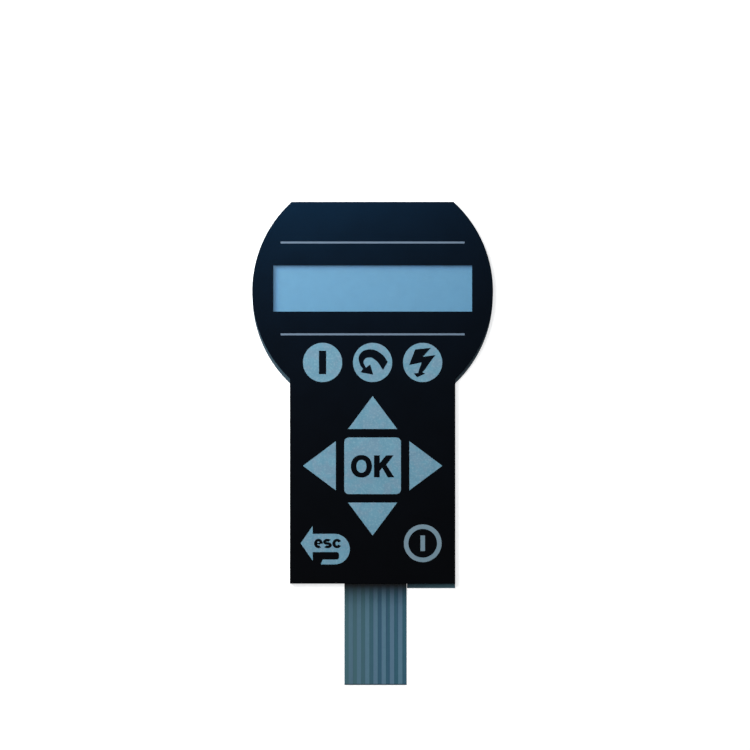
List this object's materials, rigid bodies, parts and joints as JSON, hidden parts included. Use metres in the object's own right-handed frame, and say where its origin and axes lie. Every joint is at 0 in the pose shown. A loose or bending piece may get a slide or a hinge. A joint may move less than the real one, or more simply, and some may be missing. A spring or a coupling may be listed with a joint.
{
  "type": "membrane keypad",
  "caption": "Flat membrane keypad with a round head cut flat at the top, a display window, printed key fields over snap domes and a flat ribbon tail.",
  "frame": {"origin": "on the rear face of the release liner, under the centre of the round head", "axes": "+Z out of the front face, +Y towards the flat top edge of the head, +X to the right of someone who reads the keys"},
  "size_m": [0.074, 0.1486, 0.0012],
  "materials": {
    "clear_film": "clear satin film",
    "black_print": "satin black print",
    "pale_print": "satin pale blue-grey print",
    "adhesive": "translucent tape",
    "inner_film": "clear inner film",
    "dome_steel": "bright spring steel",
    "silver_print": "matt conductive silver print",
    "circuit_film": "clear film with a blue-grey look",
    "liner_film": "smooth pale blue film"
  },
  "bodies": {
    "root": {"front_film": "clear_film", "face_print": "black_print", "rule_upper": "pale_print", "rule_lower": "pale_print", "key_start": "pale_print", "key_return": "pale_print", "key_fault": "pale_print", "key_up": "pale_print", "key_left": "pale_print", "key_ok": "pale_print", "key_right": "pale_print", "key_down": "pale_print", "key_esc": "pale_print", "key_power": "pale_print", "face_adhesive": "adhesive", "dome_retainer": "inner_film", "retainer_adhesive": "adhesive", "dome_start": "dome_steel", "dome_return": "dome_steel", "dome_fault": "dome_steel", "dome_up": "dome_steel", "dome_left": "dome_steel", "dome_ok": "dome_steel", "dome_right": "dome_steel", "dome_down": "dome_steel", "dome_esc": "dome_steel", "dome_power": "dome_steel", "spacer_film": "inner_film", "spacer_adhesive": "adhesive", "track_row_1": "silver_print", "track_row_2": "silver_print", "track_row_3": "silver_print", "track_row_4": "silver_print", "track_column_left": "silver_print", "track_column_centre": "silver_print", "track_column_right": "silver_print", "circuit_film": "circuit_film", "rear_adhesive": "adhesive", "release_liner": "liner_film"}
  },
  "joints": []
}
